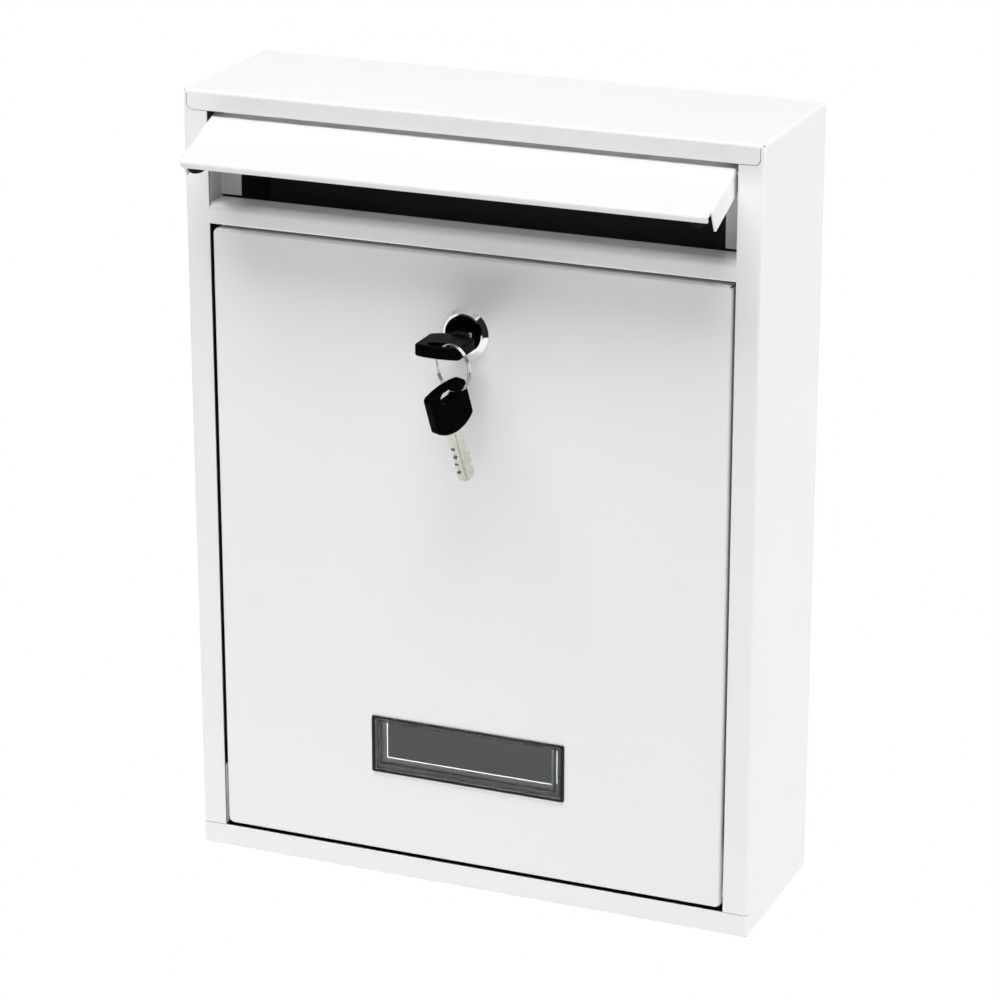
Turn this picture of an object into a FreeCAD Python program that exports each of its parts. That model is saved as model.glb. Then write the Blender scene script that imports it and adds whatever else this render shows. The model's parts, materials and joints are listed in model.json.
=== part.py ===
import FreeCAD, Part
import math
import os
from FreeCAD import Placement, Rotation, Vector

# Wall mounted post box of folded sheet steel, with a bottom-hinged door, a raised
# letter flap, a cam lock, a key in the lock and a second key on a ring.
# Frame: +X to the right seen from the front, +Y into the wall, +Z up.
# The origin is the centre of the four wall holes, on the face that meets the wall.
# Rest pose: door shut and unlocked, flap raised, key in the lock.

# Housing
box_width = 223.0
box_height = 300.0
box_depth = 69.0
housing_sheet = 1.0
housing_fold_radius = 1.6
side_lip_width = 9.6
top_lip_height = 7.5
bottom_lip_height = 9.0
lip_seam = 0.25
top_seam_inset = 1.8
top_seam_radius = 2.2
bottom_seam_depth = 2.6
wall_hole_spacing_x = 150.0
wall_hole_spacing_z = 150.0
wall_hole_diameter = 5.5

# Cross rail and slot frame
frame_sheet = 0.8
frame_fold_radius = 1.2
rail_drop = 50.0
rail_height = 7.9
rail_nose_radius = 3.0
rail_strike_depth = 15.8
rail_strike_height = 6.2
recess_depth = 11.0
cheek_width = 7.9
cheek_relief = 0.9
slot_height = 27.7
frame_flange_width = 5.8
frame_head_clearance = 0.5
frame_head_flange = 3.6
frame_flange_drop = 6.0
flange_relief = 0.3

# Letter flap
flap_sheet = 0.8
flap_fold_radius = 1.1
flap_side_gap = 1.0
flap_top_gap = 0.8
flap_bottom_gap = 0.4
flap_lip_depth = 2.6
flap_ear_depth = 8.8
flap_ear_tip_setback = 4.3
flap_notch_setback = 3.4
flap_corner_cut = 1.2
flap_pivot_depth = 2.5
flap_pivot_drop = 3.4
flap_raised_angle = 69.0
flap_pin_radius = 0.9
flap_pin_clearance = 0.05
flap_pin_head_radius = 1.5
flap_pin_head_thickness = 0.7
flap_pin_reach = 0.6
buffer_radius = 3.4
buffer_height = 5.0
buffer_inset = 5.2
buffer_edge_radius = 0.7

# Door
door_sheet = 1.0
door_side_gap = 1.1
door_gap = 1.3
door_depth = 10.0
door_fold_radius = 1.2
door_corner_radius = 2.2
door_hinge_height = 15.0
door_hinge_depth = 3.5
door_pin_radius = 1.5
door_pin_clearance = 0.05
door_pin_head_radius = 2.2
door_pin_head_thickness = 1.0
door_pin_reach = 0.8
bracket_sheet = 1.0
bracket_fold_radius = 1.4
bracket_length = 10.0
bracket_height = 24.0
bracket_lift = 0.5
bracket_flange_width = 6.0
bracket_flange_height = 13.0
bracket_corner_radius = 2.5

# Name window
window_height = 53.9
window_flange_width = 78.0
window_flange_height = 22.8
window_flange_proud = 0.8
window_plate = 1.0
window_cutout_width = 75.2
window_cutout_height = 20.7
window_clearance = 0.2
window_rim = 1.0
window_rim_depth = 3.2
window_corner_radius = 0.8
card_width = 69.6
card_groove = 1.2
card_rail_width = 2.4
card_rail_wall = 1.0
card_rail_bottom = 2.3
window_hook_length = 8.0
window_hook_depth = 0.9
window_hook_reach = 0.5
window_hook_spacing = 50.0

# Cam lock
lock_inset = 28.4
bezel_radius = 9.25
bezel_rim = 0.9
bezel_proud = 2.6
bezel_bevel_radius = 7.7
bezel_bore_radius = 7.0
bezel_bore_depth = 1.5
barrel_radius = 8.0
barrel_flat = 7.0
barrel_length = 16.0
barrel_clearance = 0.1
nut_across_flats = 22.0
nut_thickness = 3.0
nut_clearance = 0.05
plug_radius = 6.0
plug_clearance = 0.05
plug_face_radius = 6.9
plug_face_recess = 0.6
plug_tenon = 6.4
plug_tenon_length = 1.9
keyway_depth = 14.3
keyway_clearance = 0.1
cam_thickness = 2.0
cam_clearance = 0.2
cam_catch = 4.8
cam_width = 14.0
cam_tip_width = 11.0
cam_tip_radius = 2.0
washer_radius = 5.0
washer_thickness = 0.8
cam_screw_radius = 2.0
cam_screw_depth = 5.0
cam_screw_head_radius = 3.6
cam_screw_head_height = 2.2
cam_screw_head_edge = 0.8
cam_screw_cross_reach = 1.9
cam_screw_cross_width = 0.8
cam_screw_cross_depth = 1.2

# Keys
bow_width = 17.6
bow_length = 18.5
bow_ring_end_rise = 1.3
bow_blade_end_rise = 3.5
bow_thickness = 4.6
bow_corner_radius = 2.0
bow_edge_radius = 0.9
bow_slot_width = 8.8
bow_slot_height = 4.6
bow_end_wall = 1.2
bow_standoff = 9.1
blade_width = 6.4
blade_thickness = 1.9
blade_length = 21.0
blade_tang = 7.5
blade_tip_chamfer = 1.7
blade_groove_width = 1.1
blade_groove_depth = 0.45
blade_groove_offset = 1.2
blade_notch_first = 6.0
blade_notch_pitch = 3.2
blade_notch_depths = (0.6, 0.9, 0.5, 0.8)

# Key ring
ring_radius = 8.4
ring_wire_radius = 0.35
ring_turn_pitch = 0.72
ring_step_angle = 50.0
ring_heading = 24.0
ring_side_offset = 6.4
ring_slot_setback = 2.36
ring_drop = 7.25
ring_key_offset = 1.72
hanging_wire_reach = 0.75
hanging_wire_angle = 35.0
hanging_key_lean = 17.0

# Shared planes
front_y = -box_depth
base_z = -box_height / 2
side_x = box_width / 2
opening_x = side_x - side_lip_width
opening_bottom_z = base_z + bottom_lip_height
opening_top_z = base_z + box_height - top_lip_height
lip_back_y = front_y + housing_sheet
rail_bottom_z = base_z + box_height - rail_drop
rail_top_z = rail_bottom_z + rail_height
cheek_y = front_y + recess_depth
cheek_x = opening_x - cheek_width
door_top_z = rail_bottom_z - door_gap
lock_z = door_top_z - lock_inset
cam_length = rail_bottom_z + cam_catch - lock_z
over = 1.0
fold_run = 2.0


def box(x_range, y_range, z_range):
    """Block between two corners."""
    low = Vector(x_range[0], y_range[0], z_range[0])
    return Part.makeBox(
        x_range[1] - x_range[0], y_range[1] - y_range[0], z_range[1] - z_range[0], low
    )


def mirrored(shape):
    """The left-hand twin of a right-hand shape."""
    return shape.mirror(Vector(0, 0, 0), Vector(1, 0, 0))


def rod(radius, length, start, axis):
    """Round rod from a start point along an axis."""
    return Part.makeCylinder(radius, length, start, axis)


def edges_along(shape, axis, place=None):
    """Straight edges parallel to an axis whose middle satisfies place."""
    found = []
    for edge in shape.Edges:
        if not isinstance(edge.Curve, Part.Line):
            continue
        direction = edge.tangentAt(edge.FirstParameter)
        if abs(direction.dot(axis)) < 0.999:
            continue
        if place is None or place(edge.CenterOfMass):
            found.append(edge)
    return found


def at(value, target):
    """Whether two lengths are the same."""
    return abs(value - target) < 0.001


def prism(points, sweep):
    """Solid from a closed outline of 3-D points swept along a vector."""
    outline = Part.makePolygon(points + [points[0]])
    return Part.Face(outline).extrude(sweep)


def bent_path(points, radii):
    """Wire through the points, with an arc of the given radius at each inner point."""
    pieces = []
    start = points[0]
    for index in range(1, len(points) - 1):
        corner = points[index]
        radius = radii[index - 1]
        to_last = (points[index - 1] - corner).normalize()
        to_next = (points[index + 1] - corner).normalize()
        half = to_last.getAngle(to_next) / 2
        reach = radius / math.tan(half)
        arc_start = corner + to_last * reach
        arc_end = corner + to_next * reach
        inward = (to_last + to_next).normalize()
        arc_middle = corner + inward * (radius / math.sin(half) - radius)
        pieces.append(Part.LineSegment(start, arc_start).toShape())
        pieces.append(Part.Arc(arc_start, arc_middle, arc_end).toShape())
        start = arc_end
    pieces.append(Part.LineSegment(start, points[-1]).toShape())
    return Part.Wire(pieces)


def folded(points, radii, thickness, sweep):
    """Folded sheet: its outer line swept along a vector, with the sheet on the left of
    the line as seen against the sweep."""
    up = Vector(sweep).normalize()
    normals = []
    for start, end in zip(points, points[1:]):
        normals.append(up.cross((end - start).normalize()))
    inner_points = [points[0] + normals[0] * thickness]
    for point, before, after in zip(points[1:-1], normals, normals[1:]):
        middle = (before + after).normalize()
        inner_points.append(point + middle * (thickness / middle.dot(before)))
    inner_points.append(points[-1] + normals[-1] * thickness)
    outer = bent_path(points, radii)
    inner = bent_path(inner_points, [radius - thickness for radius in radii])
    ends = [
        Part.LineSegment(points[-1], inner_points[-1]).toShape(),
        Part.LineSegment(inner_points[0], points[0]).toShape(),
    ]
    outline = Part.Wire(Part.__sortEdges__(outer.Edges + inner.Edges + ends))
    return Part.Face(outline).extrude(sweep)


def make_housing():
    """Back, sides, top, bottom and front lips, folded from one sheet."""
    sheet = housing_sheet
    outer = box((-side_x, side_x), (front_y, 0), (base_z, base_z + box_height))
    outer = outer.makeFillet(housing_fold_radius, outer.Edges)
    inner = box(
        (-side_x + sheet, side_x - sheet),
        (front_y + sheet, -sheet),
        (base_z + sheet, base_z + box_height - sheet),
    )
    inner = inner.makeFillet(housing_fold_radius - sheet, inner.Edges)
    shell = outer.cut(inner)
    opening = box(
        (-opening_x, opening_x), (front_y - over, lip_back_y + over), (opening_bottom_z, opening_top_z)
    )
    seam = box(
        (opening_x - over, side_x + over),
        (front_y - over, front_y + bottom_seam_depth),
        (opening_bottom_z, opening_bottom_z + lip_seam),
    )
    cuts = [opening, seam, mirrored(seam), top_seam()]
    for x in (-wall_hole_spacing_x / 2, wall_hole_spacing_x / 2):
        for z in (-wall_hole_spacing_z / 2, wall_hole_spacing_z / 2):
            start = Vector(x, over, z)
            cuts.append(rod(wall_hole_diameter / 2, sheet + 2 * over, start, Vector(0, -1, 0)))
    return shell.cut(Part.makeCompound(cuts))


def top_seam():
    """Slit round the ends of the top lip, which turn up with a rounded corner."""
    rings = []
    for grown in (lip_seam, 0):
        half = side_x - top_seam_inset + grown
        lip_end = box(
            (-half, half),
            (front_y - over, lip_back_y),
            (opening_top_z - grown, base_z + box_height - housing_fold_radius),
        )
        low_edges = edges_along(lip_end, Vector(0, 1, 0), lambda c: c.z < opening_top_z + over)
        rings.append(lip_end.makeFillet(top_seam_radius + grown, low_edges))
    return rings[0].cut(rings[1])


def side_fold(width, sheet, radius, low_z, height):
    """Right-hand fold from a face on the opening's side to a flange behind the side lip."""
    line = [
        Vector(opening_x, lip_back_y + fold_run, low_z),
        Vector(opening_x, lip_back_y, low_z),
        Vector(opening_x + sheet + width, lip_back_y, low_z),
    ]
    return folded(line, [radius], sheet, Vector(0, 0, height))


def make_cross_rail():
    """Folded sill between door and slot, with the strike lip that the cam goes behind."""
    strike_y = front_y + rail_strike_depth
    line = [
        (cheek_y, rail_top_z),
        (front_y, rail_top_z),
        (front_y, rail_bottom_z),
        (strike_y, rail_bottom_z),
        (strike_y, rail_bottom_z + rail_strike_height),
    ]
    points = [Vector(-opening_x, y, z) for y, z in line]
    radii = [rail_nose_radius, frame_fold_radius, frame_fold_radius]
    return folded(points, radii, frame_sheet, Vector(2 * opening_x, 0, 0))


def make_slot_frame():
    """Head, side returns and cheeks round the letter slot, folded from one sheet."""
    sheet = frame_sheet
    head_z = opening_top_z + frame_head_clearance
    outer = box(
        (-opening_x - sheet, opening_x + sheet),
        (lip_back_y, cheek_y + sheet),
        (rail_bottom_z, head_z + sheet),
    )
    back_edges = edges_along(outer, Vector(0, 0, 1), lambda c: c.y > cheek_y)
    back_edges += edges_along(outer, Vector(1, 0, 0), lambda c: c.y > cheek_y and c.z > head_z)
    outer = outer.makeFillet(frame_fold_radius, back_edges)
    inner = box(
        (-opening_x, opening_x), (lip_back_y - over, cheek_y), (rail_bottom_z - over, head_z)
    )
    inner_edges = edges_along(inner, Vector(0, 0, 1), lambda c: c.y > cheek_y - over)
    inner_edges += edges_along(inner, Vector(1, 0, 0), lambda c: c.y > cheek_y - over and c.z > 0)
    inner = inner.makeFillet(frame_fold_radius - sheet, inner_edges)
    relief_z = rail_top_z + cheek_relief
    under_cheeks = box(
        (-opening_x, opening_x), (cheek_y - over, cheek_y + sheet + over), (rail_bottom_z - over, relief_z)
    )
    slot = box(
        (-cheek_x, cheek_x), (cheek_y - over, cheek_y + sheet + over), (relief_z - over, relief_z + slot_height)
    )
    frame = outer.cut(Part.makeCompound([inner, under_cheeks, slot]))
    flange_height = flap_pivot_z - frame_flange_drop - rail_bottom_z
    side_flange = side_fold(frame_flange_width, sheet, frame_fold_radius, rail_bottom_z, flange_height)
    front_strip = box(
        (opening_x - over, opening_x + sheet + over),
        (lip_back_y - over, lip_back_y + fold_run),
        (rail_bottom_z - over, rail_bottom_z + flange_height),
    )
    relief = box(
        (opening_x - over, opening_x + sheet + over),
        (lip_back_y - over, lip_back_y + flange_relief),
        (rail_bottom_z, head_z),
    )
    head_strip = box(
        (-opening_x, opening_x),
        (lip_back_y - over, lip_back_y + fold_run),
        (head_z - over, head_z + sheet + over),
    )
    head_line = [
        Vector(opening_x, lip_back_y + fold_run, head_z),
        Vector(opening_x, lip_back_y, head_z),
        Vector(opening_x, lip_back_y, head_z + sheet + frame_head_flange),
    ]
    head_flange = folded(head_line, [frame_fold_radius], sheet, Vector(-2 * opening_x, 0, 0))
    frame = frame.cut([front_strip, mirrored(front_strip), relief, mirrored(relief), head_strip])
    frame = frame.fuse([side_flange, mirrored(side_flange), head_flange]).removeSplitter()
    pin_holes = rod(
        flap_pin_radius + flap_pin_clearance,
        2 * side_x,
        Vector(-side_x, flap_pivot_y, flap_pivot_z),
        Vector(1, 0, 0),
    )
    return frame.cut(pin_holes)


# Letter flap, laid out shut and then turned to its raised rest
flap_x = opening_x - flap_side_gap
flap_top_z = opening_top_z - flap_top_gap
flap_bottom_z = rail_top_z + flap_bottom_gap
flap_pivot_y = front_y + flap_pivot_depth
flap_pivot_z = flap_top_z - flap_pivot_drop


def raised(shape):
    """Turn a piece of the flap from shut to its raised rest."""
    turned = shape.copy()
    pivot = Vector(0, flap_pivot_y, flap_pivot_z)
    turned.rotate(pivot, Vector(1, 0, 0), -flap_raised_angle)
    return turned


def make_flap():
    """Folded flap with ears that carry its pins and a short stiffening lip."""
    sheet = flap_sheet
    notch_z = flap_bottom_z + flap_notch_setback
    outer = box(
        (-flap_x, flap_x), (front_y, front_y + flap_ear_depth), (flap_bottom_z, flap_top_z)
    )
    front_edges = edges_along(outer, Vector(0, 0, 1), lambda c: c.y < front_y + over)
    front_edges += edges_along(
        outer, Vector(1, 0, 0), lambda c: c.y < front_y + over and c.z < notch_z
    )
    outer = outer.makeFillet(flap_fold_radius, front_edges)
    inner = box(
        (-flap_x + sheet, flap_x - sheet),
        (front_y + sheet, front_y + flap_ear_depth + over),
        (flap_bottom_z + sheet, flap_top_z + over),
    )
    inner_edges = edges_along(inner, Vector(0, 0, 1), lambda c: c.y < front_y + 2 * over)
    inner_edges += edges_along(
        inner, Vector(1, 0, 0), lambda c: c.y < front_y + 2 * over and c.z < notch_z
    )
    inner = inner.makeFillet(flap_fold_radius - sheet, inner_edges)
    behind_lip = box(
        (-flap_x, flap_x),
        (front_y + flap_lip_depth, front_y + flap_ear_depth + over),
        (flap_bottom_z - over, flap_bottom_z + sheet),
    )
    reach = flap_ear_depth + over
    corner = prism(
        [
            Vector(flap_x - flap_corner_cut, front_y - over, flap_bottom_z),
            Vector(flap_x - flap_corner_cut, front_y - over, flap_bottom_z - over),
            Vector(flap_x + over, front_y - over, flap_bottom_z - over),
            Vector(flap_x + over, front_y - over, notch_z),
            Vector(flap_x, front_y - over, notch_z),
        ],
        Vector(0, reach + over, 0),
    )
    tip_z = flap_bottom_z + flap_ear_tip_setback
    ear_slope = (tip_z - notch_z) / flap_ear_depth
    ear_end = prism(
        [
            Vector(flap_x - sheet - 0.01, front_y, flap_bottom_z - over),
            Vector(flap_x - sheet - 0.01, front_y, notch_z),
            Vector(flap_x - sheet - 0.01, front_y + reach, notch_z + ear_slope * reach),
            Vector(flap_x - sheet - 0.01, front_y + reach, flap_bottom_z - over),
        ],
        Vector(sheet + over, 0, 0),
    )
    pin_hole = rod(
        flap_pin_radius, 2 * side_x, Vector(-side_x, flap_pivot_y, flap_pivot_z), Vector(1, 0, 0)
    )
    cuts = [inner, behind_lip, corner, mirrored(corner), ear_end, mirrored(ear_end), pin_hole]
    return raised(outer.cut(Part.makeCompound(cuts)))


def make_flap_pin():
    """Right-hand rivet, fixed in the flap's ear, that turns in the slot frame's side return."""
    ear_inner_x = flap_x - flap_sheet
    start = Vector(ear_inner_x, flap_pivot_y, flap_pivot_z)
    outer_x = opening_x + frame_sheet + flap_pin_reach
    shank = rod(flap_pin_radius, outer_x - start.x, start, Vector(1, 0, 0))
    head = rod(flap_pin_head_radius, flap_pin_head_thickness, start, Vector(-1, 0, 0))
    return raised(shank.fuse(head).removeSplitter())


def make_buffer():
    """Right-hand rubber stud under the flap's front corner."""
    start = Vector(
        flap_x - buffer_inset,
        front_y + flap_sheet,
        flap_bottom_z + flap_sheet + buffer_radius + 0.3,
    )
    stud = rod(buffer_radius, buffer_height, start, Vector(0, 1, 0))
    far_edges = [edge for edge in stud.Edges if edge.CenterOfMass.y > start.y + buffer_height / 2]
    rims = [edge for edge in far_edges if isinstance(edge.Curve, Part.Circle)]
    return raised(stud.makeFillet(buffer_edge_radius, rims))


# Door
door_x = opening_x - door_side_gap
door_bottom_z = opening_bottom_z + door_gap
door_hinge_y = front_y + door_hinge_depth
door_hinge_z = base_z + door_hinge_height
window_z = base_z + window_height


def make_door():
    """Folded pan with its lock hole, window cut-out and hinge holes."""
    sheet = door_sheet
    outer = box((-door_x, door_x), (front_y, front_y + door_depth), (door_bottom_z, door_top_z))
    outer = outer.makeFillet(door_corner_radius, edges_along(outer, Vector(0, 1, 0)))
    face_edges = [edge for edge in outer.Edges if abs(edge.CenterOfMass.y - front_y) < 0.001]
    outer = outer.makeFillet(door_fold_radius, face_edges)
    inner = box(
        (-door_x + sheet, door_x - sheet),
        (front_y + sheet, front_y + door_depth + over),
        (door_bottom_z + sheet, door_top_z - sheet),
    )
    inner = inner.makeFillet(door_corner_radius - sheet, edges_along(inner, Vector(0, 1, 0)))
    window_hole = box(
        (-window_cutout_width / 2, window_cutout_width / 2),
        (front_y - over, front_y + sheet + over),
        (window_z - window_cutout_height / 2, window_z + window_cutout_height / 2),
    )
    lock_hole = flatted_rod(
        barrel_radius + barrel_clearance,
        barrel_flat + barrel_clearance,
        front_y - over,
        front_y + sheet + over,
    )
    pin_hole = rod(
        door_pin_radius, 2 * side_x, Vector(-side_x, door_hinge_y, door_hinge_z), Vector(1, 0, 0)
    )
    return outer.cut(Part.makeCompound([inner, window_hole, lock_hole, pin_hole]))


def make_hinge_bracket():
    """Right-hand angle welded behind the side lip, which the door's pin turns in."""
    low_z = opening_bottom_z + bracket_lift
    high_z = low_z + bracket_height
    flange_z = high_z - bracket_flange_height
    outer_x = opening_x + bracket_sheet
    leg = box((opening_x, outer_x), (lip_back_y, lip_back_y + bracket_length), (low_z, high_z))
    leg = leg.makeFillet(
        bracket_corner_radius,
        edges_along(leg, Vector(1, 0, 0), lambda c: c.y > lip_back_y + over),
    )
    front_strip = box(
        (opening_x - over, outer_x + over),
        (lip_back_y - over, lip_back_y + fold_run),
        (flange_z, high_z + over),
    )
    relief = box(
        (opening_x - over, outer_x + over),
        (lip_back_y - over, lip_back_y + flange_relief),
        (low_z - over, high_z),
    )
    flange = side_fold(
        bracket_flange_width, bracket_sheet, bracket_fold_radius, flange_z, bracket_flange_height
    )
    bracket = leg.cut([front_strip, relief]).fuse(flange).removeSplitter()
    hole = rod(
        door_pin_radius + door_pin_clearance,
        side_x,
        Vector(0, door_hinge_y, door_hinge_z),
        Vector(1, 0, 0),
    )
    return bracket.cut(hole)


def make_door_pin():
    """Right-hand rivet, fixed in the door's side flange, that turns in the hinge bracket."""
    start = Vector(door_x - door_sheet, door_hinge_y, door_hinge_z)
    outer_x = opening_x + bracket_sheet + door_pin_reach
    shank = rod(door_pin_radius, outer_x - start.x, start, Vector(1, 0, 0))
    head = rod(door_pin_head_radius, door_pin_head_thickness, start, Vector(-1, 0, 0))
    return shank.fuse(head).removeSplitter()


def make_name_window():
    """Clear moulding with a flange, a rim that snaps into the door and a card pocket."""
    flange = box(
        (-window_flange_width / 2, window_flange_width / 2),
        (front_y - window_flange_proud, front_y),
        (window_z - window_flange_height / 2, window_z + window_flange_height / 2),
    )
    flange = flange.makeFillet(window_corner_radius, edges_along(flange, Vector(0, 1, 0)))
    front_edges = [
        edge for edge in flange.Edges if abs(edge.CenterOfMass.y - front_y + window_flange_proud) < 0.001
    ]
    flange = flange.makeFillet(window_flange_proud / 2, front_edges)
    plate_back_y = front_y - window_flange_proud + window_plate
    rim_x = window_cutout_width / 2 - window_clearance
    rim_z = window_cutout_height / 2 - window_clearance
    rim_back_y = front_y + window_rim_depth
    rim = box((-rim_x, rim_x), (front_y - 0.1, rim_back_y), (window_z - rim_z, window_z + rim_z))
    hollow = box(
        (-rim_x + window_rim, rim_x - window_rim),
        (plate_back_y, rim_back_y + over),
        (window_z - rim_z + window_rim, window_z + rim_z - window_rim),
    )
    body = rim.cut(hollow)
    rail_x = card_width / 2
    rail_z = window_z - rim_z + window_rim + card_rail_bottom - card_rail_width / 2
    top_z = window_z + rim_z - window_rim
    lip_y = plate_back_y + card_groove
    lip_back = lip_y + 1.0
    outer_u = box(
        (-rail_x - card_rail_wall, rail_x + card_rail_wall), (plate_back_y - 0.1, lip_back), (rail_z, top_z)
    )
    groove = box((-rail_x, rail_x), (plate_back_y, lip_y), (rail_z + card_rail_wall, top_z + over))
    inner_x = rail_x + card_rail_wall - card_rail_width
    see_through = box(
        (-inner_x, inner_x), (plate_back_y, lip_back + over), (rail_z + card_rail_width, top_z + over)
    )
    pocket = outer_u.cut(groove).cut(see_through)
    hooks = []
    for x in (-window_hook_spacing / 2, window_hook_spacing / 2):
        for sign in (-1, 1):
            seat = front_y + door_sheet + 0.1
            wall_z = window_z + sign * rim_z
            points = [
                Vector(x - window_hook_length / 2, seat, wall_z - sign * 0.2),
                Vector(x - window_hook_length / 2, seat, wall_z + sign * (window_hook_reach + window_clearance)),
                Vector(x - window_hook_length / 2, seat + window_hook_depth, wall_z),
                Vector(x - window_hook_length / 2, seat + window_hook_depth, wall_z - sign * 0.2),
            ]
            hooks.append(prism(points, Vector(window_hook_length, 0, 0)))
    return flange.fuse([body, pocket] + hooks).removeSplitter()


# Cam lock, on an axis along Y through the door
barrel_end_y = front_y + barrel_length
cam_y = barrel_end_y + cam_clearance
washer_y = cam_y + cam_thickness
lock_axis = Vector(0, 1, 0)


def revolved(profile):
    """Solid turned about the lock's axis from (radius, y) points."""
    points = [Vector(radius, y, lock_z) for radius, y in profile]
    face = Part.Face(Part.makePolygon(points + [points[0]]))
    return face.revolve(Vector(0, 0, lock_z), lock_axis, 360)


def flatted_rod(radius, flat, start_y, end_y):
    """Round bar on the lock's axis with a flat on each side."""
    bar = rod(radius, end_y - start_y, Vector(0, start_y, lock_z), lock_axis)
    keep = box(
        (-flat, flat), (start_y - over, end_y + over), (lock_z - 2 * radius, lock_z + 2 * radius)
    )
    return bar.common(keep)


def make_lock_body():
    """Bevelled bezel and flatted barrel, cast in one."""
    bezel = revolved(
        [
            (0, front_y),
            (bezel_radius, front_y),
            (bezel_radius, front_y - bezel_rim),
            (bezel_bevel_radius, front_y - bezel_proud),
            (bezel_bore_radius, front_y - bezel_proud),
            (bezel_bore_radius, front_y - bezel_proud + bezel_bore_depth),
            (0, front_y - bezel_proud + bezel_bore_depth),
        ]
    )
    barrel = flatted_rod(barrel_radius, barrel_flat, front_y - 0.1, barrel_end_y)
    bore = rod(
        plug_radius + plug_clearance,
        barrel_length + bezel_proud + 2 * over,
        Vector(0, front_y - bezel_proud - over, lock_z),
        lock_axis,
    )
    return bezel.fuse(barrel).removeSplitter().cut(bore)


def make_lock_nut():
    """Hexagon nut that clamps the lock to the door."""
    corner = nut_across_flats / 2 / math.cos(math.pi / 6)
    seat_y = front_y + door_sheet
    points = []
    for index in range(6):
        angle = math.radians(60 * index)
        points.append(Vector(corner * math.cos(angle), seat_y, lock_z + corner * math.sin(angle)))
    nut = prism(points, Vector(0, nut_thickness, 0))
    bore = rod(
        barrel_radius + nut_clearance,
        nut_thickness + 2 * over,
        Vector(0, seat_y - over, lock_z),
        lock_axis,
    )
    return nut.cut(bore)


def make_lock_plug():
    """Turning plug with its keyway, a square tenon for the cam and a screw hole."""
    face_y = front_y - bezel_proud + plug_face_recess
    seat_y = front_y - bezel_proud + bezel_bore_depth
    plug = revolved(
        [
            (0, face_y),
            (plug_face_radius - 0.3, face_y),
            (plug_face_radius, face_y + 0.3),
            (plug_face_radius, seat_y - 0.05),
            (plug_radius, seat_y - 0.05),
            (plug_radius, cam_y),
            (0, cam_y),
        ]
    )
    half = plug_tenon / 2
    tenon = box(
        (-half, half),
        (cam_y - 0.1, cam_y + plug_tenon_length),
        (lock_z - half, lock_z + half),
    )
    keyway_x = blade_width / 2 + keyway_clearance
    keyway_z = blade_thickness / 2 + keyway_clearance
    keyway = box(
        (-keyway_x, keyway_x),
        (face_y - over, face_y + keyway_depth),
        (lock_z - keyway_z, lock_z + keyway_z),
    )
    screw_hole = rod(
        cam_screw_radius,
        cam_screw_depth + over,
        Vector(0, washer_y - cam_screw_depth, lock_z),
        lock_axis,
    )
    return plug.fuse(tenon).removeSplitter().cut(Part.makeCompound([keyway, screw_hole]))


def make_lock_cam():
    """Flat cam on the plug's tenon, lying to the left while the door is unlocked."""
    half = cam_width / 2
    tip_half = cam_tip_width / 2
    hub = rod(half, cam_thickness, Vector(0, cam_y, lock_z), lock_axis)
    arm = prism(
        [
            Vector(0, cam_y, lock_z - half),
            Vector(0, cam_y, lock_z + half),
            Vector(-cam_length, cam_y, lock_z + tip_half),
            Vector(-cam_length, cam_y, lock_z - tip_half),
        ],
        Vector(0, cam_thickness, 0),
    )
    arm = arm.makeFillet(cam_tip_radius, edges_along(arm, lock_axis, lambda c: c.x < -cam_width))
    tenon_half = plug_tenon / 2 + 0.05
    hole = box(
        (-tenon_half, tenon_half),
        (cam_y - over, cam_y + cam_thickness + over),
        (lock_z - tenon_half, lock_z + tenon_half),
    )
    return hub.fuse(arm).removeSplitter().cut(hole)


def make_cam_washer():
    """Washer between the cam and its screw."""
    start = Vector(0, washer_y, lock_z)
    disc = rod(washer_radius, washer_thickness, start, lock_axis)
    return disc.cut(rod(cam_screw_radius + 0.1, washer_thickness, start, lock_axis))


def make_cam_screw():
    """Pan-head screw with a cross recess that holds the cam on the plug."""
    head_y = washer_y + washer_thickness
    shank = rod(
        cam_screw_radius,
        cam_screw_depth + washer_thickness,
        Vector(0, washer_y - cam_screw_depth, lock_z),
        lock_axis,
    )
    head = rod(cam_screw_head_radius, cam_screw_head_height, Vector(0, head_y, lock_z), lock_axis)
    far_rim = [
        edge
        for edge in head.Edges
        if isinstance(edge.Curve, Part.Circle) and edge.CenterOfMass.y > head_y + 0.1
    ]
    head = head.makeFillet(cam_screw_head_edge, far_rim)
    recess_y = head_y + cam_screw_head_height - cam_screw_cross_depth
    reach = cam_screw_cross_reach
    half = cam_screw_cross_width / 2
    depth_range = (recess_y, recess_y + 2 * over)
    across = box((-reach, reach), depth_range, (lock_z - half, lock_z + half))
    upright = box((-half, half), depth_range, (lock_z - reach, lock_z + reach))
    return shank.fuse(head).removeSplitter().cut(across.fuse(upright))


# Keys, laid out flat with the bow's centre at the origin and the blade along +Y
bow_slot_y = -(bow_length / 2 - bow_end_wall - bow_slot_height / 2)
slot_end_radius = bow_slot_height / 2
slot_end_x = bow_slot_width / 2 - slot_end_radius


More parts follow.
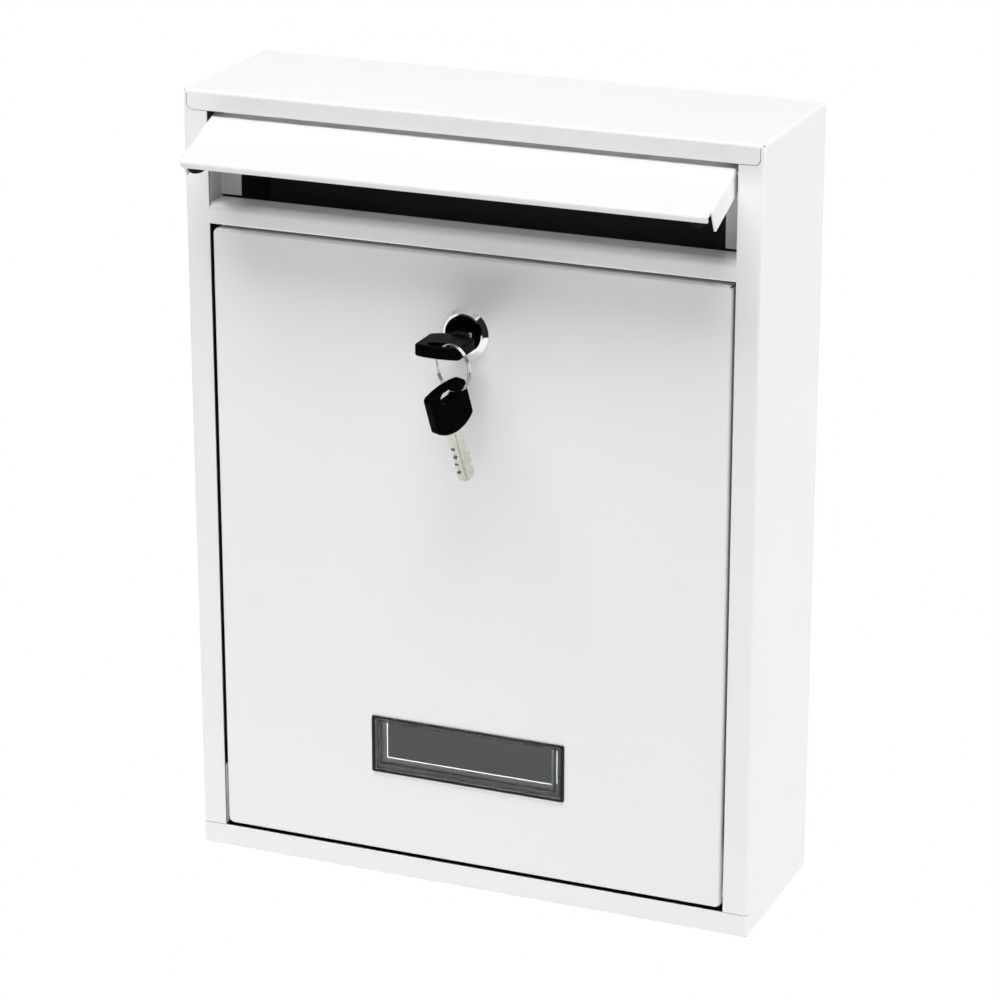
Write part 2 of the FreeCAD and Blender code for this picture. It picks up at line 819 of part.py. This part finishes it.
def make_blade():
    """Stamped blade with a pointed tip, a groove on each face and notched edges."""
    half = blade_width / 2
    tip_y = bow_length / 2 + blade_length
    tang_y = bow_length / 2 - blade_tang
    level = -blade_thickness / 2
    outline = [
        Vector(-half, tang_y, level),
        Vector(half, tang_y, level),
        Vector(half, tip_y - blade_tip_chamfer, level),
        Vector(half - blade_tip_chamfer, tip_y, level),
        Vector(-half + blade_tip_chamfer, tip_y, level),
        Vector(-half, tip_y - blade_tip_chamfer, level),
    ]
    blade = prism(outline, Vector(0, 0, blade_thickness))
    cuts = []
    for sign in (-1, 1):
        centre = sign * blade_groove_offset
        face = sign * blade_thickness / 2
        inside = face - sign * blade_groove_depth
        cuts.append(
            box(
                (centre - blade_groove_width / 2, centre + blade_groove_width / 2),
                (bow_length / 2 + over, tip_y + over),
                (min(inside, face + sign * over), max(inside, face + sign * over)),
            )
        )
    for index, depth in enumerate(blade_notch_depths):
        notch_y = bow_length / 2 + blade_notch_first + index * blade_notch_pitch
        for sign in (-1, 1):
            cuts.append(
                prism(
                    [
                        Vector(sign * (half + 0.1), notch_y - depth - 0.5, level - over),
                        Vector(sign * (half - depth), notch_y - 0.3, level - over),
                        Vector(sign * (half - depth), notch_y + 0.3, level - over),
                        Vector(sign * (half + 0.1), notch_y + depth + 0.5, level - over),
                    ],
                    Vector(0, 0, blade_thickness + 2 * over),
                )
            )
    return blade.cut(Part.makeCompound(cuts))


def rounded_slot(level, height):
    """Solid slot with round ends, across the bow near its ring end."""
    low = bow_slot_y - slot_end_radius
    high = bow_slot_y + slot_end_radius
    outline = Part.Wire(
        [
            Part.LineSegment(Vector(-slot_end_x, low, level), Vector(slot_end_x, low, level)).toShape(),
            Part.Arc(
                Vector(slot_end_x, low, level),
                Vector(slot_end_x + slot_end_radius, bow_slot_y, level),
                Vector(slot_end_x, high, level),
            ).toShape(),
            Part.LineSegment(Vector(slot_end_x, high, level), Vector(-slot_end_x, high, level)).toShape(),
            Part.Arc(
                Vector(-slot_end_x, high, level),
                Vector(-slot_end_x - slot_end_radius, bow_slot_y, level),
                Vector(-slot_end_x, low, level),
            ).toShape(),
        ]
    )
    return Part.Face(outline).extrude(Vector(0, 0, height))


def make_bow(blade):
    """Moulded bow with convex ends, a slot for the ring and a pocket for the blade."""
    half = bow_width / 2
    end = bow_length / 2
    level = -bow_thickness / 2
    ring_side = -end + bow_ring_end_rise
    blade_side = end - bow_blade_end_rise
    right_low = Vector(half, ring_side, level)
    right_high = Vector(half, blade_side, level)
    left_high = Vector(-half, blade_side, level)
    left_low = Vector(-half, ring_side, level)
    outline = Part.Wire(
        [
            Part.LineSegment(right_low, right_high).toShape(),
            Part.Arc(right_high, Vector(0, end, level), left_high).toShape(),
            Part.LineSegment(left_high, left_low).toShape(),
            Part.Arc(left_low, Vector(0, -end, level), right_low).toShape(),
        ]
    )
    bow = Part.Face(outline).extrude(Vector(0, 0, bow_thickness))
    bow = bow.makeFillet(bow_corner_radius, edges_along(bow, Vector(0, 0, 1)))
    rims = []
    for edge in bow.Edges:
        low, high = edge.BoundBox.ZMin, edge.BoundBox.ZMax
        if high - low < 0.001:
            rims.append(edge)
    bow = bow.makeFillet(bow_edge_radius, rims)
    slot = rounded_slot(level - over, bow_thickness + 2 * over)
    return bow.cut(slot).cut(blade)


# Ring and keys in place
key_centre = Vector(0, front_y - bow_standoff - bow_length / 2, lock_z)
ring_angle = math.radians(ring_heading)
ring_direction = Vector(math.cos(ring_angle), -math.sin(ring_angle), 0)
ring_axis = Vector(math.sin(ring_angle), math.cos(ring_angle), 0)
ring_top_z = key_centre.z + bow_thickness / 2
ring_centre = Vector(
    ring_side_offset, key_centre.y + bow_slot_y - ring_slot_setback, ring_top_z - ring_drop
)


def round_the_ring(angle, shift):
    """Point on a turn of wire, by its angle round the ring's axis from its left side."""
    turned = math.radians(angle)
    outward = Vector(0, 0, 1) * math.sin(turned) - ring_direction * math.cos(turned)
    return ring_centre + outward * ring_radius + ring_axis * shift


def turn_arc(shift):
    """One turn of wire, open over the step."""
    half_step = ring_step_angle / 2
    return Part.Arc(
        round_the_ring(half_step, shift), round_the_ring(180, shift), round_the_ring(-half_step, shift)
    )


def turn_heading(angle, shift):
    """Direction of the wire on a turn, towards falling angles."""
    outward = round_the_ring(angle, shift) - ring_centre - ring_axis * shift
    return outward.cross(ring_axis).normalize()


def make_key_ring():
    """Split ring: one length of wire in two turns, with a step from one turn to the other."""
    half_step = ring_step_angle / 2
    shift = ring_turn_pitch / 2
    points = []
    for index in range(5):
        angle = half_step - ring_step_angle * index / 4
        eased = (1 - math.cos(math.pi * index / 4)) / 2
        points.append(round_the_ring(angle, shift * (2 * eased - 1)))
    step = Part.BSplineCurve()
    step.interpolate(
        Points=points,
        InitialTangent=turn_heading(half_step, -shift),
        FinalTangent=turn_heading(-half_step, shift),
    )
    path = Part.Wire([turn_arc(-shift).toShape(), step.toShape(), turn_arc(shift).toShape()])
    start = round_the_ring(-half_step, -shift)
    section = Part.Circle(start, turn_heading(-half_step, -shift), ring_wire_radius)
    return path.makePipeShell([Part.Wire(section.toShape())], True, False)


def hanging_placement():
    """Where the second key hangs, by one end of its slot, leaning to the door."""
    turn = Rotation(Vector(0, 0, 1), -90 - ring_heading)
    turn = turn.multiply(Rotation(Vector(0, 1, 0), hanging_key_lean))
    turn = turn.multiply(Rotation(Vector(1, 0, 0), -90))
    wire_drop = math.sqrt(ring_radius**2 - ring_key_offset**2)
    wire = ring_centre - ring_direction * ring_key_offset - Vector(0, 0, wire_drop)
    reach_angle = math.radians(hanging_wire_angle)
    wire_in_slot = Vector(
        -slot_end_x - hanging_wire_reach * math.sin(reach_angle),
        bow_slot_y - hanging_wire_reach * math.cos(reach_angle),
        0,
    )
    return Placement(wire - turn.multVec(wire_in_slot), turn)


def placed(shape, placement):
    """A copy of a shape moved to its place."""
    moved = shape.copy()
    moved.Placement = placement.multiply(moved.Placement)
    return moved


def save(name, shape):
    """Write one sub-part, as a single clean solid where it is one."""
    solids = shape.Solids
    result = solids[0] if len(solids) == 1 else Part.makeCompound(solids)
    result.exportStep("parts/" + name + ".step")


def main():
    os.makedirs("parts", exist_ok=True)
    save("housing", make_housing())
    save("cross_rail", make_cross_rail())
    save("slot_frame", make_slot_frame())
    save("flap", make_flap())
    save("door", make_door())
    save("name_window", make_name_window())
    for name, shape in (
        ("flap_pin", make_flap_pin()),
        ("flap_buffer", make_buffer()),
        ("hinge_bracket", make_hinge_bracket()),
        ("door_pin", make_door_pin()),
    ):
        save(name + "_right", shape)
        save(name + "_left", mirrored(shape))
    save("lock_body", make_lock_body())
    save("lock_nut", make_lock_nut())
    save("lock_plug", make_lock_plug())
    save("lock_cam", make_lock_cam())
    save("cam_washer", make_cam_washer())
    save("cam_screw", make_cam_screw())
    blade = make_blade()
    bow = make_bow(blade)
    inserted = Placement(key_centre, Rotation())
    hanging = hanging_placement()
    save("lock_key_bow", placed(bow, inserted))
    save("lock_key_blade", placed(blade, inserted))
    save("key_ring", make_key_ring())
    save("spare_key_bow", placed(bow, hanging))
    save("spare_key_blade", placed(blade, hanging))


main()
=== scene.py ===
import json
import math

import bpy
from mathutils import Matrix, Vector


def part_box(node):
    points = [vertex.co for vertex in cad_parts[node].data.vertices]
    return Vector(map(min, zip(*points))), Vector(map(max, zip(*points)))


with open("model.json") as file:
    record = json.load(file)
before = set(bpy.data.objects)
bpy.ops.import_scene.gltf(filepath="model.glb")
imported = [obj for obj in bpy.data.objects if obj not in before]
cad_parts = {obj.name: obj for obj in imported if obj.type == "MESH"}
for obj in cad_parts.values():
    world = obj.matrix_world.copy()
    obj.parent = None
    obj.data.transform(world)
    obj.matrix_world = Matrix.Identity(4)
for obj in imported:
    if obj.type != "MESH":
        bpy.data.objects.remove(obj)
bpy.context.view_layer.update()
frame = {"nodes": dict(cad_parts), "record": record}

# Camera, solved from the box's corners in the photograph
CAMERA_PLACE = Vector((0.4993, -1.2399, 0.4580))
CAMERA_YAW = math.radians(22.542)
CAMERA_PITCH = math.radians(19.533)
CAMERA_ROLL = math.radians(-0.039)
CAMERA_LENS_MM = 133.23
SENSOR_MM = 36.0
NEAREST_SEEN = 0.05
FURTHEST_SEEN = 60.0

# Room
FLOOR_LEVEL = -0.90
FLOOR_REACH = 4.4
FLOOR_WHITE = (0.80, 0.80, 0.80, 1.0)
ROOM_LIGHT = 0.02
PLAIN_WHITE = (1.0, 1.0, 1.0, 1.0)

# The dark studio beyond both sides, as parts of a unit direction
DARK_SIDE = (0.02, 0.02, 0.02, 1.0)
DARK_SIDE_START = 0.48
DARK_SIDE_TOP = 0.70
DARK_SIDE_BLUR = 0.08

# Lamps: name, place, width, height, power in watts. All aim at the box's middle.
BOX_MIDDLE = (0.0, -0.05, 0.0)
SOFTBOXES = (
    ("overhead_softbox", (-0.10, -0.60, 1.40), 1.2, 0.5, 20.0),
    ("front_softbox", (0.55, -2.1, 0.10), 1.4, 1.4, 10.5),
    ("right_softbox", (1.7, 0.15, 0.2), 1.0, 1.2, 20.0),
    ("left_softbox", (-1.7, 0.25, 0.3), 1.0, 1.2, 13.0),
)
UNMIRRORED_FILLS = (
    ("low_card", (0.0, -0.65, -0.60), 1.0, 0.5, 1.7),
    ("low_left_card", (-0.5, -0.60, -0.60), 0.8, 0.5, 2.2),
    ("rear_fill", (0.3, 1.9, 0.4), 1.4, 1.2, 14.0),
)

# Coats of paint, and greys painted on as shade in the recess and inside the box
FULL_COAT = ((0.885, 0.885, 0.885), (0.865, 0.866, 0.868))
# A greyer coat painted as shade on the slot frame's recess under the flap
RECESS_SHADE_COAT = ((0.50, 0.50, 0.50), (0.46, 0.46, 0.465))
# Dark grey painted as shade inside the box and the door, and on the slot frame's back and
# head ends
INSIDE_SHADE_GREY = (0.052, 0.056, 0.056, 1.0)
HALF_SHEET = 0.0005

# The fully coated strip of the slot frame over the flap: how far below the flap's top it
# starts, and how far from the frame's ends it stops; past its ends the head is painted dark
# as shade
STRIP_DROP = 0.005
STRIP_END_GAP = 0.0115

# Textures
FINE_BUMP_DETAIL = 2.0
FINE_BUMP_ROUGHNESS = 0.45
ROUGH_PATCHES_PER_METRE = 60.0
ROUGH_PATCH_DETAIL = 3.0
ROUGH_PATCH_SPAN = (0.3, 0.7)
BRUSHED_STRETCH = (1.0, 1.0, 0.06)
BRUSHED_DETAIL = 3.0
TINT_PATCHES_PER_METRE = 30.0
TINT_DETAIL = 4.0

# Sockets of a Mix node that is set to colours, which share their names with its other ones
MIX_FIRST = 6
MIX_SECOND = 7
MIX_RESULT = 2


def set_camera():
    data = bpy.data.cameras.new("camera")
    data.lens = CAMERA_LENS_MM
    data.sensor_width = SENSOR_MM
    data.clip_start = NEAREST_SEEN
    data.clip_end = FURTHEST_SEEN
    camera = bpy.data.objects.new("camera", data)
    bpy.context.scene.collection.objects.link(camera)
    forward = Vector((
        -math.sin(CAMERA_YAW) * math.cos(CAMERA_PITCH),
        math.cos(CAMERA_YAW) * math.cos(CAMERA_PITCH),
        -math.sin(CAMERA_PITCH),
    ))
    level = Vector((math.cos(CAMERA_YAW), math.sin(CAMERA_YAW), 0.0))
    upright = level.cross(forward)
    right = level * math.cos(CAMERA_ROLL) + upright * math.sin(CAMERA_ROLL)
    up = upright * math.cos(CAMERA_ROLL) - level * math.sin(CAMERA_ROLL)
    turn = Matrix((right, up, -forward)).transposed()
    camera.matrix_world = Matrix.Translation(CAMERA_PLACE) @ turn.to_4x4()
    bpy.context.scene.camera = camera


def add_softbox(name, place, width, height, power):
    data = bpy.data.lights.new(name, "AREA")
    data.shape = "RECTANGLE"
    data.size = width
    data.size_y = height
    data.energy = power
    lamp = bpy.data.objects.new(name, data)
    bpy.context.scene.collection.objects.link(lamp)
    lamp.location = place
    towards_box = Vector(BOX_MIDDLE) - Vector(place)
    lamp.rotation_euler = towards_box.to_track_quat("-Z", "Y").to_euler()
    return lamp


def add_lamps():
    """A key above, softboxes all round, and fills that nothing mirrors."""
    for softbox in SOFTBOXES:
        add_softbox(*softbox)
    for fill in UNMIRRORED_FILLS:
        add_softbox(*fill).visible_glossy = False


def calculate(nodes, links, operation, *terms):
    """A Math node on one or two terms, each a socket."""
    node = nodes.new("ShaderNodeMath")
    node.operation = operation
    for socket, term in zip(node.inputs, terms):
        links.new(term, socket)
    return node.outputs["Value"]


def soft_step(nodes, links, value, start, end):
    """0 before the start, 1 past the end, and a smooth rise between."""
    step = nodes.new("ShaderNodeMapRange")
    step.interpolation_type = "SMOOTHSTEP"
    step.inputs["From Min"].default_value = start
    step.inputs["From Max"].default_value = end
    links.new(value, step.inputs["Value"])
    return step.outputs["Result"]


def mix_colours(nodes, links, factor):
    """A Mix node for colours, led by a mask or a noise."""
    mix = nodes.new("ShaderNodeMix")
    mix.data_type = "RGBA"
    links.new(factor, mix.inputs["Factor"])
    return mix


def direct_view(nodes, links):
    """1 for what the camera sees, directly or through metal and glass."""
    path = nodes.new("ShaderNodeLightPath").outputs
    seen = calculate(nodes, links, "MAXIMUM", path["Is Camera Ray"], path["Is Glossy Ray"])
    return calculate(nodes, links, "MAXIMUM", seen, path["Is Transmission Ray"])


def dark_sides_in_gloss(nodes, links):
    """White all round, but polished metal finds a dark studio beyond both sides."""
    path = nodes.new("ShaderNodeLightPath")
    place = nodes.new("ShaderNodeTexCoord")
    heading = nodes.new("ShaderNodeSeparateXYZ")
    links.new(place.outputs["Generated"], heading.inputs["Vector"])
    sideways = calculate(nodes, links, "ABSOLUTE", heading.outputs["X"])
    side_end = DARK_SIDE_START + DARK_SIDE_BLUR
    beside = soft_step(nodes, links, sideways, DARK_SIDE_START, side_end)
    top_end = DARK_SIDE_TOP + DARK_SIDE_BLUR
    below = soft_step(nodes, links, heading.outputs["Z"], top_end, DARK_SIDE_TOP)
    dark = calculate(nodes, links, "MULTIPLY", beside, below)
    in_gloss = calculate(nodes, links, "MULTIPLY", dark, path.outputs["Is Glossy Ray"])
    shade = mix_colours(nodes, links, in_gloss)
    shade.inputs[MIX_FIRST].default_value = PLAIN_WHITE
    shade.inputs[MIX_SECOND].default_value = DARK_SIDE
    return shade.outputs[MIX_RESULT]


def mix_by_view(nodes, links, output, lighting, seen):
    """One shader for the light that it gives, another for what the camera sees."""
    mix = nodes.new("ShaderNodeMixShader")
    links.new(direct_view(nodes, links), mix.inputs["Fac"])
    links.new(lighting, mix.inputs[1])
    links.new(seen, mix.inputs[2])
    links.new(mix.outputs["Shader"], output.inputs["Surface"])


def light_room():
    """A pale room that the camera sees as plain white."""
    world = bpy.data.worlds.new("room")
    bpy.context.scene.world = world
    world.use_nodes = True
    nodes, links = world.node_tree.nodes, world.node_tree.links
    nodes.clear()
    output = nodes.new("ShaderNodeOutputWorld")
    seen = nodes.new("ShaderNodeBackground")
    seen.inputs["Strength"].default_value = 1.0
    links.new(dark_sides_in_gloss(nodes, links), seen.inputs["Color"])
    glow = nodes.new("ShaderNodeBackground")
    glow.inputs["Color"].default_value = PLAIN_WHITE
    glow.inputs["Strength"].default_value = ROOM_LIGHT
    mix_by_view(nodes, links, output, glow.outputs["Background"], seen.outputs["Background"])


def add_floor():
    bpy.ops.object.select_all(action="DESELECT")
    bpy.ops.mesh.primitive_plane_add(size=FLOOR_REACH, location=(0.0, 0.0, FLOOR_LEVEL))
    floor = bpy.context.active_object
    floor.name = "floor"
    material = bpy.data.materials.new("pale_floor")
    material.use_nodes = True
    nodes, links = material.node_tree.nodes, material.node_tree.links
    nodes.clear()
    output = nodes.new("ShaderNodeOutputMaterial")
    matt = nodes.new("ShaderNodeBsdfDiffuse")
    matt.inputs["Color"].default_value = FLOOR_WHITE
    bright = nodes.new("ShaderNodeEmission")
    bright.inputs["Strength"].default_value = 1.0
    mix_by_view(nodes, links, output, matt.outputs["BSDF"], bright.outputs["Emission"])
    floor.data.materials.append(material)


def new_group(name, values, colours, results):
    """An empty shader group: its inputs, its outputs and the nodes inside that carry them."""
    group = bpy.data.node_groups.new(name, "ShaderNodeTree")
    sockets = group.interface
    for socket in colours:
        sockets.new_socket(name=socket, in_out="INPUT", socket_type="NodeSocketColor")
    for socket, default in values.items():
        value = sockets.new_socket(name=socket, in_out="INPUT", socket_type="NodeSocketFloat")
        value.default_value = default
    for socket, kind in results.items():
        sockets.new_socket(name=socket, in_out="OUTPUT", socket_type=kind)
    entry = group.nodes.new("NodeGroupInput")
    leave = group.nodes.new("NodeGroupOutput")
    return group, entry.outputs, leave.inputs


def fine_grain_group():
    """Fine bumps all over a surface, with a roughness that wanders between two values."""
    group, given, result = new_group(
        "fine_grain",
        {"Bumps Per Metre": 1000.0, "Roughness Low": 0.35, "Roughness High": 0.45},
        (),
        {"Roughness": "NodeSocketFloat", "Height": "NodeSocketFloat"},
    )
    nodes, links = group.nodes, group.links
    place = nodes.new("ShaderNodeTexCoord")
    bumps = nodes.new("ShaderNodeTexNoise")
    bumps.inputs["Detail"].default_value = FINE_BUMP_DETAIL
    bumps.inputs["Roughness"].default_value = FINE_BUMP_ROUGHNESS
    links.new(place.outputs["Object"], bumps.inputs["Vector"])
    links.new(given["Bumps Per Metre"], bumps.inputs["Scale"])
    links.new(bumps.outputs["Fac"], result["Height"])
    patches = nodes.new("ShaderNodeTexNoise")
    patches.inputs["Scale"].default_value = ROUGH_PATCHES_PER_METRE
    patches.inputs["Detail"].default_value = ROUGH_PATCH_DETAIL
    links.new(place.outputs["Object"], patches.inputs["Vector"])
    spread = nodes.new("ShaderNodeMapRange")
    spread.inputs["From Min"].default_value = ROUGH_PATCH_SPAN[0]
    spread.inputs["From Max"].default_value = ROUGH_PATCH_SPAN[1]
    links.new(patches.outputs["Fac"], spread.inputs["Value"])
    links.new(given["Roughness Low"], spread.inputs["To Min"])
    links.new(given["Roughness High"], spread.inputs["To Max"])
    links.new(spread.outputs["Result"], result["Roughness"])
    return group


def brushed_group():
    """Long fine scratches along one direction, for rolled and plated metal."""
    group, given, result = new_group(
        "brushed",
        {"Lines Per Metre": 3000.0, "Roughness Low": 0.25, "Roughness High": 0.40},
        (),
        {"Roughness": "NodeSocketFloat", "Height": "NodeSocketFloat"},
    )
    nodes, links = group.nodes, group.links
    place = nodes.new("ShaderNodeTexCoord")
    stretch = nodes.new("ShaderNodeMapping")
    stretch.inputs["Scale"].default_value = BRUSHED_STRETCH
    links.new(place.outputs["Object"], stretch.inputs["Vector"])
    lines = nodes.new("ShaderNodeTexNoise")
    lines.inputs["Detail"].default_value = BRUSHED_DETAIL
    links.new(stretch.outputs["Vector"], lines.inputs["Vector"])
    links.new(given["Lines Per Metre"], lines.inputs["Scale"])
    links.new(lines.outputs["Fac"], result["Height"])
    spread = nodes.new("ShaderNodeMapRange")
    links.new(lines.outputs["Fac"], spread.inputs["Value"])
    links.new(given["Roughness Low"], spread.inputs["To Min"])
    links.new(given["Roughness High"], spread.inputs["To Max"])
    links.new(spread.outputs["Result"], result["Roughness"])
    return group


def tint_drift_group():
    """A colour that drifts a little between two shades over the surface."""
    group, given, result = new_group(
        "tint_drift",
        {"Patches Per Metre": TINT_PATCHES_PER_METRE},
        ("Colour", "Second Colour"),
        {"Colour": "NodeSocketColor"},
    )
    nodes, links = group.nodes, group.links
    place = nodes.new("ShaderNodeTexCoord")
    patches = nodes.new("ShaderNodeTexNoise")
    patches.inputs["Detail"].default_value = TINT_DETAIL
    links.new(place.outputs["Object"], patches.inputs["Vector"])
    links.new(given["Patches Per Metre"], patches.inputs["Scale"])
    blend = mix_colours(nodes, links, patches.outputs["Fac"])
    links.new(given["Colour"], blend.inputs[MIX_FIRST])
    links.new(given["Second Colour"], blend.inputs[MIX_SECOND])
    links.new(blend.outputs[MIX_RESULT], result["Colour"])
    return group


def within_box_group():
    """1 inside a box that is centred left to right, 0 outside."""
    group, given, result = new_group(
        "within_box",
        {"Half Width": 0.0, "Front": 0.0, "Back": 0.0, "Foot": 0.0, "Head": 0.0},
        (),
        {"Mask": "NodeSocketFloat"},
    )
    nodes, links = group.nodes, group.links
    place = nodes.new("ShaderNodeTexCoord")
    apart = nodes.new("ShaderNodeSeparateXYZ")
    links.new(place.outputs["Object"], apart.inputs["Vector"])
    across = calculate(nodes, links, "ABSOLUTE", apart.outputs["X"])
    inside = calculate(nodes, links, "LESS_THAN", across, given["Half Width"])
    further_tests = (
        (apart.outputs["Y"], "GREATER_THAN", "Front"),
        (apart.outputs["Y"], "LESS_THAN", "Back"),
        (apart.outputs["Z"], "GREATER_THAN", "Foot"),
        (apart.outputs["Z"], "LESS_THAN", "Head"),
    )
    for value, comparison, limit in further_tests:
        passed = calculate(nodes, links, comparison, value, given[limit])
        inside = calculate(nodes, links, "MULTIPLY", inside, passed)
    links.new(inside, result["Mask"])
    return group


FINE_GRAIN = fine_grain_group()
BRUSHED = brushed_group()
TINT_DRIFT = tint_drift_group()
WITHIN_BOX = within_box_group()


def place_group(nodes, group, values):
    """A shader group in a material, with its own values."""
    node = nodes.new("ShaderNodeGroup")
    node.node_tree = group
    for socket, value in values.items():
        node.inputs[socket].default_value = value
    return node


def opaque(shade):
    return (*shade, 1.0)


def finish(name, shades, texture, texture_values, bump_depth, **constants):
    """A finish with two near shades, a texture group's roughness and its bumps."""
    material = bpy.data.materials.new(name)
    material.use_nodes = True
    nodes, links = material.node_tree.nodes, material.node_tree.links
    shader = nodes["Principled BSDF"]
    for socket, value in constants.items():
        shader.inputs[socket.replace("_", " ")].default_value = value
    first, second = shades
    tint_values = {"Colour": opaque(first), "Second Colour": opaque(second)}
    tint = place_group(nodes, TINT_DRIFT, tint_values)
    links.new(tint.outputs["Colour"], shader.inputs["Base Color"])
    grain = place_group(nodes, texture, texture_values)
    links.new(grain.outputs["Roughness"], shader.inputs["Roughness"])
    bump = nodes.new("ShaderNodeBump")
    bump.inputs["Strength"].default_value = 1.0
    bump.inputs["Distance"].default_value = bump_depth
    links.new(grain.outputs["Height"], bump.inputs["Height"])
    links.new(bump.outputs["Normal"], shader.inputs["Normal"])
    return material


def powder_coat(name, shades):
    return finish(
        name,
        shades,
        FINE_GRAIN,
        {"Bumps Per Metre": 1400.0, "Roughness Low": 0.30, "Roughness High": 0.36},
        0.00002,
    )


def layered_coat(name, shades, layers):
    """A coat whose shade changes inside boxes of space, each layer over the one before."""
    material = powder_coat(name, shades)
    nodes, links = material.node_tree.nodes, material.node_tree.links
    shader = nodes["Principled BSDF"]
    shade_so_far = shader.inputs["Base Color"].links[0].from_socket
    for box, layer_shade in layers:
        zone = place_group(nodes, WITHIN_BOX, box)
        layer = mix_colours(nodes, links, zone.outputs["Mask"])
        links.new(shade_so_far, layer.inputs[MIX_FIRST])
        layer.inputs[MIX_SECOND].default_value = layer_shade
        shade_so_far = layer.outputs[MIX_RESULT]
    links.new(shade_so_far, shader.inputs["Base Color"])
    return material


def shaded_inside(name):
    """The full coat outside, and dark grey painted inside a box of sheet as painted shade,
    for the inside that lies in shadow.
    """
    low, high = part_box(name)
    inside = {
        "Half Width": high.x - HALF_SHEET,
        "Front": low.y + HALF_SHEET,
        "Back": high.y - HALF_SHEET,
        "Foot": low.z + HALF_SHEET,
        "Head": high.z - HALF_SHEET,
    }
    return layered_coat("coat_and_painted_shade_of_" + name, FULL_COAT, ((inside, INSIDE_SHADE_GREY),))


def slot_frame_coat_and_shade():
    """A greyer coat painted in the recess as shade, the full one on a strip over the flap,
    and dark grey painted shade at the head's ends over the flap and behind.
    """
    low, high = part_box("slot_frame")
    flap_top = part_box("flap")[1].z
    head = {
        "Half Width": high.x,
        "Front": low.y,
        "Back": high.y,
        "Foot": flap_top - STRIP_DROP,
        "Head": high.z,
    }
    strip = {**head, "Half Width": high.x - STRIP_END_GAP}
    behind = {**head, "Front": high.y - HALF_SHEET, "Back": 0.0, "Foot": low.z}
    # Painted shade in layers: dark grey on the head over the flap, the full coat back on its
    # middle strip, dark grey behind
    layers = (
        (head, INSIDE_SHADE_GREY),
        (strip, opaque(FULL_COAT[0])),
        (behind, INSIDE_SHADE_GREY),
    )
    return layered_coat("coat_and_painted_shade_of_slot_frame", RECESS_SHADE_COAT, layers)


def zinc_plate():
    return finish(
        "zinc_plate",
        ((0.60, 0.61, 0.62), (0.50, 0.51, 0.53)),
        BRUSHED,
        {"Lines Per Metre": 2500.0, "Roughness Low": 0.28, "Roughness High": 0.45},
        0.00001,
        Metallic=1.0,
    )


def nickel_plate():
    return finish(
        "nickel_plate",
        ((0.70, 0.70, 0.64), (0.56, 0.56, 0.51)),
        BRUSHED,
        {"Lines Per Metre": 4000.0, "Roughness Low": 0.18, "Roughness High": 0.36},
        0.00002,
        Metallic=1.0,
    )


def polished_chrome():
    return finish(
        "polished_chrome",
        ((0.93, 0.93, 0.94), (0.88, 0.88, 0.89)),
        FINE_GRAIN,
        {"Bumps Per Metre": 500.0, "Roughness Low": 0.04, "Roughness High": 0.08},
        0.000002,
        Metallic=1.0,
    )


def spring_steel():
    return finish(
        "spring_steel",
        ((0.42, 0.42, 0.43), (0.32, 0.32, 0.33)),
        FINE_GRAIN,
        {"Bumps Per Metre": 500.0, "Roughness Low": 0.03, "Roughness High": 0.07},
        0.000002,
        Metallic=1.0,
    )


def black_plastic():
    return finish(
        "black_plastic",
        ((0.0010, 0.0010, 0.0010), (0.0018, 0.0018, 0.0018)),
        FINE_GRAIN,
        {"Bumps Per Metre": 2200.0, "Roughness Low": 0.12, "Roughness High": 0.22},
        0.000004,
        IOR=1.06,
    )


def black_rubber():
    return finish(
        "black_rubber",
        ((0.004, 0.004, 0.004), (0.007, 0.007, 0.007)),
        FINE_GRAIN,
        {"Bumps Per Metre": 3000.0, "Roughness Low": 0.60, "Roughness High": 0.80},
        0.00003,
        Specular_IOR_Level=0.1,
    )


def clear_plastic():
    return finish(
        "clear_plastic",
        ((0.73, 0.75, 0.755), (0.70, 0.72, 0.725)),
        FINE_GRAIN,
        {"Bumps Per Metre": 300.0, "Roughness Low": 0.02, "Roughness High": 0.05},
        0.000004,
        Transmission_Weight=1.0,
        IOR=1.36,
    )


def dress_nodes():
    """Each node gets the finish of its slot in the record, and a few get their own."""
    finishes = {
        "white_coat": powder_coat("white_powder_coat", FULL_COAT),
        "plated_steel": zinc_plate(),
        "nickel_silver": nickel_plate(),
        "polished_chrome": polished_chrome(),
        "black_plastic": black_plastic(),
        "black_rubber": black_rubber(),
        "clear_plastic": clear_plastic(),
    }
    slot_of = {part["node"]: part["material_slot"] for part in frame["record"]["subparts"]}
    own_finish = {
        "key_ring": spring_steel(),
        # The housing, the door and the slot frame carry painted shade inside and in the
        # recess
        "housing": shaded_inside("housing"),
        "door": shaded_inside("door"),
        "slot_frame": slot_frame_coat_and_shade(),
    }
    for name, node in frame["nodes"].items():
        for slot in node.material_slots:
            slot.material = own_finish.get(name, finishes[slot_of[name]])


set_camera()
light_room()
add_floor()
add_lamps()
dress_nodes()
bpy.context.scene.view_settings.view_transform = "Standard"
